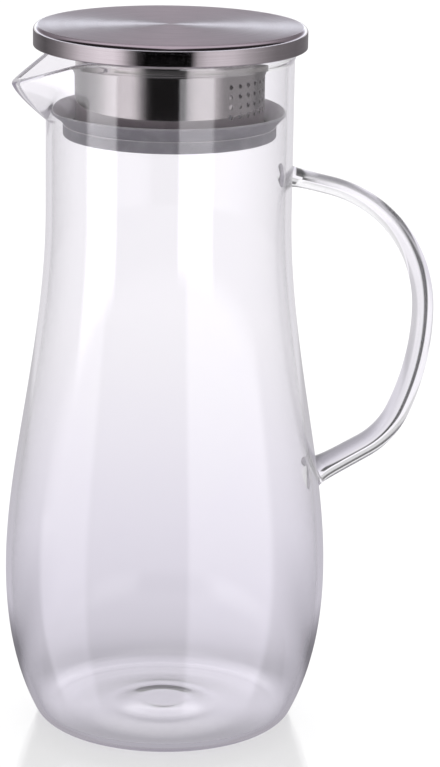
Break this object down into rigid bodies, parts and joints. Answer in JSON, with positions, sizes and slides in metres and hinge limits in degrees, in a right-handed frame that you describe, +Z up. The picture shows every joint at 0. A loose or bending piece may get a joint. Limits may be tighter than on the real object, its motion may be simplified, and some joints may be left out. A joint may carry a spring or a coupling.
{
  "type": "glass pitcher with lid",
  "caption": "Clear glass water pitcher with a pulled pouring spout, a glass rod handle and a flat steel lid whose perforated drum and soft seal plug the neck.",
  "frame": {"origin": "centre of the base ring, on the surface that the pitcher stands on", "axes": "+Z up along the axis of the jug, -X towards the pouring spout, +X towards the handle"},
  "size_m": [0.1543, 0.1144, 0.2516],
  "materials": {
    "clear_glass": "clear blown borosilicate glass, fire polished, with a faint cool tint",
    "brushed_steel": "stainless steel, fine circular brushing on the top and a bright rolled skirt",
    "polished_steel": "stainless steel sheet, bright and smooth, with small punched holes",
    "grey_silicone": "translucent-looking mid grey moulded silicone with a satin surface"
  },
  "bodies": {
    "jug": {"glass_body": "clear_glass", "glass_handle": "clear_glass"},
    "seal": {"seal_ring": "grey_silicone"},
    "lid": {"lid_cap": "brushed_steel", "lid_underplate": "polished_steel", "strainer_drum": "polished_steel"}
  },
  "joints": [
    {"name": "lid_lift", "type": "slide", "parent": "jug", "child": "seal", "axis": [0, 0, 1], "range_m": [0, 0.12]},
    {"name": "lid_turn", "type": "hinge", "parent": "seal", "child": "lid", "pos_m": [0, 0, 0.2301], "axis": [0, 0, 1], "continuous": true}
  ]
}
